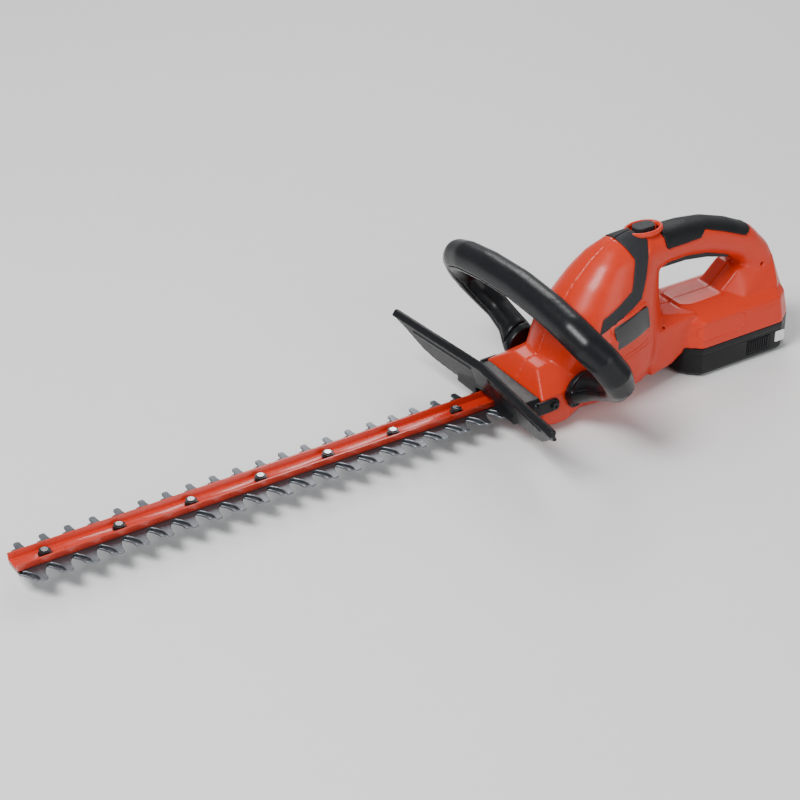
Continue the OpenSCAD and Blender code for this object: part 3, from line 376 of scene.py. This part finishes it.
def calm_weight(piece: bpy.types.Object, crease: float, spread: int) -> np.ndarray:
    """Finds where a skin is calm: away from its true edges, where only facets are left.

    Args:
        piece: the fine mesh.
        crease: angle between neighbours, in degrees, past which there's an edge.
        spread: rings of neighbours that an edge keeps with it.

    Returns:
        One weight per vertex, 1 where calm and 0 along edges.
    """
    mesh = piece.data
    normals = np.zeros(len(mesh.vertices) * 3)
    mesh.vertex_normals.foreach_get("vector", normals)
    normals = normals.reshape(-1, 3)
    ends = np.zeros(len(mesh.edges) * 2, np.int32)
    mesh.edges.foreach_get("vertices", ends)
    ends = ends.reshape(-1, 2)
    bend = np.degrees(np.arccos(np.clip((normals[ends[:, 0]] * normals[ends[:, 1]]).sum(1), -1, 1)))
    sharp = np.zeros(len(mesh.vertices), bool)
    sharp[ends[bend > crease].ravel()] = True
    for _ in range(spread):
        touched = sharp[ends[:, 0]] | sharp[ends[:, 1]]
        sharp[ends[touched].ravel()] = True
    return np.where(sharp, 0.0, 1.0)


def ease(piece: bpy.types.Object, weight: np.ndarray, passes: int, factor: float = 0.5) -> None:
    """Smooths a skin where its weight says.

    Args:
        piece: the fine mesh.
        weight: one value per vertex.
        passes: rounds of smoothing.
        factor: share of the way in each round.
    """
    group = piece.vertex_groups.new(name="ease")
    steps = np.round(weight * EASE_STEPS).astype(int)
    for step in range(1, EASE_STEPS + 1):
        chosen = np.nonzero(steps == step)[0]
        if len(chosen):
            group.add(chosen.tolist(), step / EASE_STEPS, "REPLACE")
    apply_modifier(piece, "SMOOTH", factor=factor, iterations=passes, vertex_group="ease")
    piece.vertex_groups.clear()


@dataclass
class MouldedSkin:
    """A moulded piece taken from the frame: facets eased away and edges rounded."""

    name: str
    node: str
    body: str
    slot: str
    cell: float = 0.0012
    edge_passes: int = 6
    face_passes: int = 70
    crease: float = 9.0
    spread: int = 1
    flat_seam: bool = False

    def build(self) -> bpy.types.Object:
        """Makes the piece, dresses it and puts it on its body.

        Returns:
            The finished piece.
        """
        piece = copy_of_node(self.node, self.name)
        apply_modifier(piece, "REMESH", mode="VOXEL", voxel_size=self.cell)
        self._round_edges(piece)
        if self.face_passes:
            weight = calm_weight(piece, self.crease, self.spread) * self._off_seam(piece)
            ease(piece, weight, self.face_passes)
            ease(piece, self._off_seam(piece), 2)
        pick(piece)
        bpy.ops.object.shade_smooth_by_angle(angle=math.radians(50))
        self.dress(piece)
        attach(piece, self.body)
        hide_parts(self.node)
        log.info("%s: %d faces", self.name, len(piece.data.polygons))
        return piece

    def _round_edges(self, piece: bpy.types.Object) -> None:
        """Rounds every edge a little; a joint face stays flat, and its rim is eased along the joint.

        Args:
            piece: the fine mesh.
        """
        before = points_of(piece)[:, 1].copy()
        ease(piece, np.ones(len(before)), self.edge_passes)
        if self.flat_seam:
            points = points_of(piece)
            held = np.abs(before) < SEAM_HELD
            points[held, 1] = before[held]
            piece.data.vertices.foreach_set("co", points.ravel())
            piece.data.update()

    def _off_seam(self, piece: bpy.types.Object) -> np.ndarray:
        """Keeps the joint face between two halves where it is.

        Args:
            piece: the fine mesh.

        Returns:
            One weight per vertex.
        """
        across = np.abs(points_of(piece)[:, 1])
        if not self.flat_seam:
            return np.ones(len(across))
        return np.clip((across - SEAM_CLEAR) / SEAM_FADE, 0.0, 1.0)

    def dress(self, piece: bpy.types.Object) -> None:
        """Gives the piece the finish of its slot."""
        dress(piece, FINISHES[self.slot])


@dataclass
class BevelledPart:
    """A machined or pressed part taken from the frame, with its edges broken."""

    name: str
    node: str
    body: str
    slot: str
    width: float = 0.5 * MM
    segments: int = 2
    angle: float = 35.0

    def build(self) -> bpy.types.Object:
        """Makes the part, dresses it and puts it on its body.

        Returns:
            The finished piece.
        """
        piece = copy_of_node(self.node, self.name)
        pick(piece)
        bpy.ops.object.mode_set(mode="EDIT")
        bpy.ops.mesh.select_all(action="SELECT")
        bpy.ops.mesh.dissolve_limited(angle_limit=math.radians(1.5))
        bpy.ops.object.mode_set(mode="OBJECT")
        apply_modifier(piece, "BEVEL", width=self.width, segments=self.segments, limit_method="ANGLE",
                       angle_limit=math.radians(self.angle), harden_normals=False, use_clamp_overlap=True)
        pick(piece)
        bpy.ops.object.shade_smooth_by_angle(angle=math.radians(32))
        dress(piece, FINISHES[self.slot])
        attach(piece, self.body)
        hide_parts(self.node)
        log.info("%s: %d faces", self.name, len(piece.data.polygons))
        return piece


@dataclass
class SidePlate:
    """A thin plate that lies on the side of the housing and follows its curve."""

    name: str
    corners: tuple[tuple[float, float], ...]
    side: int
    slot: str
    proud: float
    stands_for: str = ""
    round_over: float = 2.2 * MM
    start: float = 70 * MM
    reach: float = 2.5 * MM
    depth: float = 2.2 * MM

    def build(self, skin: bpy.types.Object) -> bpy.types.Object:
        """Makes the plate on its skin.

        Args:
            skin: the housing shell that it lies on.

        Returns:
            The finished plate.
        """
        clear_selection()
        bpy.ops.mesh.primitive_circle_add(vertices=len(self.corners), radius=0.02, fill_type="NGON")
        plate = bpy.context.object
        plate.name = self.name
        out = self.side * self.start
        for vertex, (u, z) in zip(plate.data.vertices, self.corners):
            vertex.co = Vector((nose_x() + u * MM, out, z * MM))
        pick(plate)
        bpy.ops.object.mode_set(mode="EDIT")
        bpy.ops.mesh.select_all(action="SELECT")
        bpy.ops.mesh.bevel(offset=self.round_over, segments=5, affect="VERTICES")
        bpy.ops.mesh.quads_convert_to_tris()
        bpy.ops.mesh.subdivide(number_cuts=7)
        bpy.ops.object.mode_set(mode="OBJECT")
        apply_modifier(plate, "SHRINKWRAP", target=skin, wrap_method="PROJECT", use_project_x=False,
                       use_project_y=True, use_project_z=False, use_negative_direction=True,
                       use_positive_direction=True)
        points = points_of(plate)
        far = self.side * points[:, 1]
        level = float(np.median(far))
        for vertex in plate.data.vertices:
            y = min(max(self.side * vertex.co.y, level - self.reach), level + self.reach)
            vertex.co.y = self.side * (y + self.proud)
        pick(plate)
        bpy.ops.object.mode_set(mode="EDIT")
        bpy.ops.mesh.select_all(action="SELECT")
        bpy.ops.mesh.extrude_region_move(TRANSFORM_OT_translate={"value": (0, -self.side * self.depth, 0)})
        bpy.ops.mesh.select_all(action="SELECT")
        bpy.ops.mesh.normals_make_consistent(inside=False)
        bpy.ops.object.mode_set(mode="OBJECT")
        apply_modifier(plate, "BEVEL", width=0.35 * MM, segments=2, limit_method="ANGLE",
                       angle_limit=math.radians(50))
        pick(plate)
        bpy.ops.object.shade_smooth_by_angle(angle=math.radians(40))
        dress(plate, FINISHES[self.slot])
        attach(plate, "housing")
        if self.stands_for:
            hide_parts(self.stands_for)
        log.info("%s: %d faces", self.name, len(plate.data.polygons))
        return plate


@dataclass
class RaisedLine:
    """A fine moulded line that follows the side of the housing."""

    name: str
    points: tuple[tuple[float, float], ...]
    side: int
    closed: bool = False
    thick: float = 0.55 * MM
    sunk: float = 0.15 * MM
    start: float = 0.2
    steps: int = 8

    def build(self, skin: bpy.types.Object) -> bpy.types.Object:
        """Makes the line on its skin.

        Args:
            skin: the housing shell that it lies on.

        Returns:
            The finished line.
        """
        curve = bpy.data.curves.new(self.name, "CURVE")
        curve.dimensions = "3D"
        curve.bevel_depth = self.thick
        curve.bevel_resolution = 2
        curve.use_fill_caps = True
        spline = curve.splines.new("POLY")
        path = self._path(skin)
        spline.points.add(len(path) - 1)
        for point, place in zip(spline.points, path):
            point.co = (*place, 1.0)
        spline.use_cyclic_u = self.closed
        line = bpy.data.objects.new(self.name, curve)
        bpy.context.scene.collection.objects.link(line)
        pick(line)
        bpy.ops.object.convert(target="MESH")
        line = bpy.context.object
        bpy.ops.object.shade_smooth()
        dress(line, ORANGE)
        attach(line, "housing")
        return line

    def _path(self, skin: bpy.types.Object) -> list[Vector]:
        """Drops the line's points on the skin.

        Args:
            skin: the housing shell.

        Returns:
            Points just under the surface.
        """
        ends = list(self.points) + ([self.points[0]] if self.closed else [])
        path = []
        for (u0, z0), (u1, z1) in zip(ends, ends[1:]):
            for k in range(self.steps):
                u, z = u0 + (u1 - u0) * k / self.steps, z0 + (z1 - z0) * k / self.steps
                start = Vector((nose_x() + u * MM, self.side * self.start, z * MM))
                hit, place, _, _ = skin.ray_cast(start, Vector((0, -self.side, 0)))
                if hit:
                    path.append(place + Vector((0, -self.side * self.sunk, 0)))
        return path


def nose_x() -> float:
    """Where the housing's nose starts, found from the middle of the guard screws."""
    low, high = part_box("guard_screws")
    return (low.x + high.x) / 2 - SCREW_BACK


@dataclass
class LockBezel:
    """The raised oval ring round the lock-off button."""

    margin: float = 2.6 * MM
    thick: float = 2.0 * MM
    first_radius: float = 0.01
    ends: float = 2.2
    sides: float = 1.5
    tall: float = 1.3
    below_top: float = 4.2 * MM

    def build(self) -> bpy.types.Object:
        """Makes the ring.

        Returns:
            The finished ring.
        """
        low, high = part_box("lock_off_button")
        middle = (low + high) / 2
        half = (high - low) / 2
        clear_selection()
        bpy.ops.mesh.primitive_torus_add(major_segments=64, minor_segments=16, major_radius=self.first_radius,
                                         minor_radius=self.thick)
        ring = bpy.context.object
        ring.name = "lock_bezel"
        for vertex in ring.data.vertices:
            flat = Vector((vertex.co.x, vertex.co.y))
            around = flat.normalized()
            grow = flat.length - self.first_radius
            vertex.co.x = around.x * (half.x + self.ends * self.margin + grow) + middle.x
            vertex.co.y = around.y * (half.y + self.sides * self.margin + grow)
            vertex.co.z = vertex.co.z * self.tall + high.z - self.below_top
        pick(ring)
        bpy.ops.object.shade_smooth()
        dress(ring, ORANGE)
        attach(ring, "housing")
        return ring


# Outlines on the side of the housing: mm behind the nose's front, and mm above the ground.
BADGE_CORNERS = ((84.0, 85.0), (123.0, 94.6), (127.0, 72.4), (87.6, 62.8))
FRAME_CORNERS = ((80.6, 87.4), (125.2, 98.2), (130.4, 70.2), (85.0, 59.4))
BASE_LOOP = ((188.0, 50.0), (196.0, 53.5), (236.0, 53.5), (242.0, 49.0), (238.0, 40.0), (230.0, 37.0),
             (192.0, 37.0), (186.0, 42.0))
SIDE_LINES = (((96.0, 53.0), (131.0, 60.5)), ((97.0, 49.0), (132.0, 56.5)), ((250.0, 50.0), (284.0, 50.0)))


@dataclass
class Housing:
    """The orange motor housing in two halves, with its bands, grip cover and badges."""

    shells: tuple[MouldedSkin, ...] = (
        MouldedSkin("shell_left", "housing_left", "housing", "orange_shell", flat_seam=True),
        MouldedSkin("shell_right", "housing_right", "housing", "orange_shell", flat_seam=True),
        MouldedSkin("band_left", "side_band_left", "housing", "band_grey", cell=0.0007, face_passes=60),
        MouldedSkin("band_right", "side_band_right", "housing", "band_grey", cell=0.0007, face_passes=60),
        MouldedSkin("grip_rubber", "grip_cover", "housing", "soft_black", cell=0.0009, face_passes=60))

    def build(self) -> None:
        """Makes the housing's visible pieces."""
        made = [shell.build() for shell in self.shells]
        for name, side, skin in (("left", -1, made[0]), ("right", 1, made[1])):
            SidePlate(f"badge_frame_{name}", FRAME_CORNERS, side, "orange_shell", 0.9 * MM,
                      round_over=4.0 * MM).build(skin)
            SidePlate(f"badge_plate_{name}", BADGE_CORNERS, side, "badge_black", 1.25 * MM,
                      f"badge_{name}").build(skin)
            RaisedLine(f"base_loop_{name}", BASE_LOOP, side, closed=True).build(skin)
            for number, ends in enumerate(SIDE_LINES):
                RaisedLine(f"side_line_{name}_{number}", ends, side).build(skin)
        LockBezel().build()


@dataclass
class FrontHandle:
    """The black bow handle: its shell and the cover let into it."""

    skins: tuple[MouldedSkin, ...] = (
        MouldedSkin("handle_shell", "bail_shell", "housing", "handle_black", cell=0.0011, face_passes=60),
        MouldedSkin("handle_cover", "bail_cover", "housing", "handle_black", cell=0.0011, face_passes=60))

    def build(self) -> None:
        """Makes both pieces of the handle."""
        for skin in self.skins:
            skin.build()


@dataclass
class HandGuard:
    """The leaf-shaped black guard in front of the hand."""

    skin: MouldedSkin = field(default_factory=lambda: MouldedSkin(
        "guard_leaf", "guard", "housing", "black_plastic", cell=0.0010, edge_passes=3, face_passes=0))

    def build(self) -> None:
        """Makes the guard."""
        self.skin.build()


@dataclass
class CuttingBar:
    """The red channel bar and the two toothed blades."""

    parts: tuple[BevelledPart, ...] = (
        BevelledPart("channel_bar", "blade_bar", "housing", "bar_red", width=0.35 * MM),
        BevelledPart("top_blade", "upper_blade", "upper_blade", "blade_steel", width=0.35 * MM, segments=1),
        BevelledPart("under_blade", "lower_blade", "lower_blade", "blade_steel", width=0.35 * MM, segments=1))

    def build(self) -> None:
        """Makes the bar and both blades."""
        for part in self.parts:
            part.build()


@dataclass
class BatteryPack:
    """The slide-on battery: tray, lid and latches."""

    parts: tuple[BevelledPart, ...] = (
        BevelledPart("pack_tray", "battery_tray", "battery", "black_plastic", width=1.0 * MM, segments=3),
        BevelledPart("pack_lid", "battery_lid", "battery", "black_plastic", width=0.6 * MM, segments=2))

    def build(self) -> None:
        """Makes the battery's visible pieces."""
        for part in self.parts:
            part.build()


class FramePaint:
    """Puts the right finish on every frame node that shows as it is."""

    def build(self) -> None:
        """Dresses each node by the material slot that the record gives it."""
        for entry in frame["record"]["subparts"]:
            node = frame["nodes"][entry["node"]]
            dress(node, FINISHES[entry["material_slot"]])


@dataclass
class Studio:
    """A pale floor, soft lights and the camera."""

    eye: tuple[float, float, float] = (-0.8608, -1.3052, 1.0205)
    right: tuple[float, float, float] = (0.8433, -0.5375, 0.0)
    up: tuple[float, float, float] = (0.2844, 0.4463, 0.8485)
    lens: float = 96.4
    floor_half: float = 6.0

    def build(self) -> None:
        """Makes the floor, the lights, the world and the camera."""
        self._floor()
        self._light("key", (-1.5, -0.2, 2.3), 84.0, 1.0)
        self._light("fill", (0.6, -2.6, 1.2), 26.0, 1.8)
        self._light("rim", (1.4, 1.9, 2.0), 30.0, 1.2)
        world = bpy.data.worlds.new("studio_world")
        world.use_nodes = True
        back = world.node_tree.nodes["Background"]
        back.inputs["Color"].default_value = (0.95, 0.97, 1.0, 1.0)
        back.inputs["Strength"].default_value = 0.42
        bpy.context.scene.world = world
        self._camera()

    def _floor(self) -> None:
        """Makes the floor just under the trimmer."""
        low = min(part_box(name)[0].z for name in frame["nodes"])
        clear_selection()
        bpy.ops.mesh.primitive_plane_add(size=2 * self.floor_half, location=(0, 0, low - FLOOR_GAP))
        floor = bpy.context.object
        floor.name = "studio_floor"
        bake_place(floor)
        dress(floor, Finish("floor_finish", (0.80, 0.80, 0.79), Grain.PAPER, roughness=0.6, bump=0.01,
                            drift=0.01))

    @staticmethod
    def _light(name: str, place: tuple[float, float, float], power: float, size: float) -> None:
        """Adds a soft square light that faces the trimmer.

        Args:
            name: the light's name.
            place: where it hangs.
            power: watts.
            size: side in metres.
        """
        data = bpy.data.lights.new(name, "AREA")
        data.energy = power
        data.size = size
        lamp = bpy.data.objects.new(name, data)
        bpy.context.scene.collection.objects.link(lamp)
        lamp.location = place
        lamp.rotation_euler = (Vector((0, 0, 0.05)) - Vector(place)).to_track_quat("-Z", "Y").to_euler()

    def _camera(self) -> None:
        """Sets the camera at the viewing angle."""
        data = bpy.data.cameras.new("studio_camera")
        data.lens = self.lens
        data.sensor_width = 36.0
        data.clip_end = 50.0
        data.dof.use_dof = False
        camera = bpy.data.objects.new("studio_camera", data)
        bpy.context.scene.collection.objects.link(camera)
        right = Vector(self.right).normalized()
        up = Vector(self.up).normalized()
        turn = Matrix((right, up, right.cross(up))).transposed()
        camera.matrix_world = Matrix.Translation(self.eye) @ turn.to_4x4()
        bpy.context.scene.camera = camera


def main() -> None:
    """Builds each sub-assembly in order and reports it."""
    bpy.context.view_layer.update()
    FramePaint().build()
    for assembly in (Housing(), FrontHandle(), HandGuard(), CuttingBar(), BatteryPack(), Studio()):
        assembly.build()
        log.info("built: %s", type(assembly).__name__)
    clear_selection()


if __name__ == "__main__":
    main()
